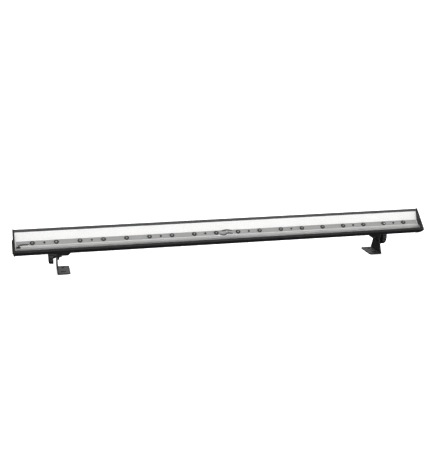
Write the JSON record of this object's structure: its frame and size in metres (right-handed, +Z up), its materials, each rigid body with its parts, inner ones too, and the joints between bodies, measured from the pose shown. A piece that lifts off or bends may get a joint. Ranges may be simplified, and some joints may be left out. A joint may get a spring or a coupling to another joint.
{
  "type": "led strip batten",
  "caption": "Metre-long black LED batten with a row of emitters in a white trough behind a clear cover, on two tilting clamp feet.",
  "frame": {"origin": "on the surface that the feet stand on, midway between the round bolt holes of the two feet", "axes": "+X along the bar to the right as seen from the lit side, +Y away from the lit side, +Z up; modelled with the window's normal 47 degrees above the horizon"},
  "size_m": [1.0445, 0.1007, 0.1174],
  "materials": {
    "housing_black": "satin black anodised and powder coated aluminium",
    "cap_black": "black moulded plastic, fine grain",
    "black_screw": "blackened steel",
    "clear_cover": "clear flat sheet",
    "reflector_white": "white satin painted sheet",
    "board_white": "white solder mask",
    "board_green": "green solder mask",
    "emitter": "dark package with a clear dome",
    "wire_black": "insulated wire",
    "grommet_rubber": "black rubber",
    "bracket_black": "black powder coated steel",
    "black_zinc": "black zinc plated steel",
    "washer_nylon": "black nylon",
    "knob_plastic": "black moulded plastic",
    "inlet_plastic": "black moulded plastic",
    "contact_metal": "plated brass",
    "terminal_plastic": "green moulded plastic",
    "fuse_glass": "glass tube",
    "winding": "taped and varnished winding",
    "capacitor_sleeve": "dark sleeve",
    "heatsink_aluminium": "plain aluminium"
  },
  "bodies": {
    "housing": {"board_jumpers": "wire_black", "board_screws": "black_screw", "capacitor": "capacitor_sleeve", "driver_board": "board_green", "driver_heatsink": "heatsink_aluminium", "end_cap_screws": "black_screw", "front_cover": "clear_cover", "fuse": "fuse_glass", "fuse_clips": "contact_metal", "housing_shell": "housing_black", "inlet_pins": "contact_metal", "inlet_wires": "wire_black", "led_01": "emitter", "led_02": "emitter", "led_03": "emitter", "led_04": "emitter", "led_05": "emitter", "led_06": "emitter", "led_07": "emitter", "led_08": "emitter", "led_09": "emitter", "led_10": "emitter", "led_11": "emitter", "led_12": "emitter", "led_13": "emitter", "led_14": "emitter", "led_15": "emitter", "led_16": "emitter", "led_17": "emitter", "led_18": "emitter", "led_board_left": "board_white", "led_board_right": "board_white", "led_feed_cable": "wire_black", "left_end_cap": "cap_black", "left_friction_washer": "washer_nylon", "left_mount_bracket": "bracket_black", "left_weld_nut": "black_zinc", "mains_choke": "winding", "mains_terminal": "terminal_plastic", "mount_bracket_screws": "black_screw", "output_connector": "terminal_plastic", "output_inductor": "winding", "power_inlet": "inlet_plastic", "reflector_tray": "reflector_white", "right_end_cap": "cap_black", "right_friction_washer": "washer_nylon", "right_mount_bracket": "bracket_black", "right_weld_nut": "black_zinc", "transformer": "winding", "wire_grommet": "grommet_rubber"},
    "left_foot": {"left_foot": "bracket_black"},
    "right_foot": {"right_foot": "bracket_black"},
    "left_knob": {"left_knob": "knob_plastic", "left_stud": "black_zinc", "left_knob_washer": "black_zinc"},
    "right_knob": {"right_knob": "knob_plastic", "right_stud": "black_zinc", "right_knob_washer": "black_zinc"}
  },
  "joints": [
    {"name": "left_foot_tilt", "type": "hinge", "parent": "housing", "child": "left_foot", "pos_m": [-0.421, -0.0165, 0.0427], "axis": [1, 0, 0], "range_deg": [-50, 125]},
    {"name": "left_knob_turn", "type": "hinge", "parent": "housing", "child": "left_knob", "pos_m": [-0.421, -0.0165, 0.0427], "axis": [1, 0, 0], "continuous": true},
    {"name": "right_foot_tilt", "type": "hinge", "parent": "housing", "child": "right_foot", "pos_m": [0.421, -0.0165, 0.0427], "axis": [1, 0, 0], "range_deg": [-50, 125]},
    {"name": "right_knob_turn", "type": "hinge", "parent": "housing", "child": "right_knob", "pos_m": [0.421, -0.0165, 0.0427], "axis": [1, 0, 0], "continuous": true}
  ]
}
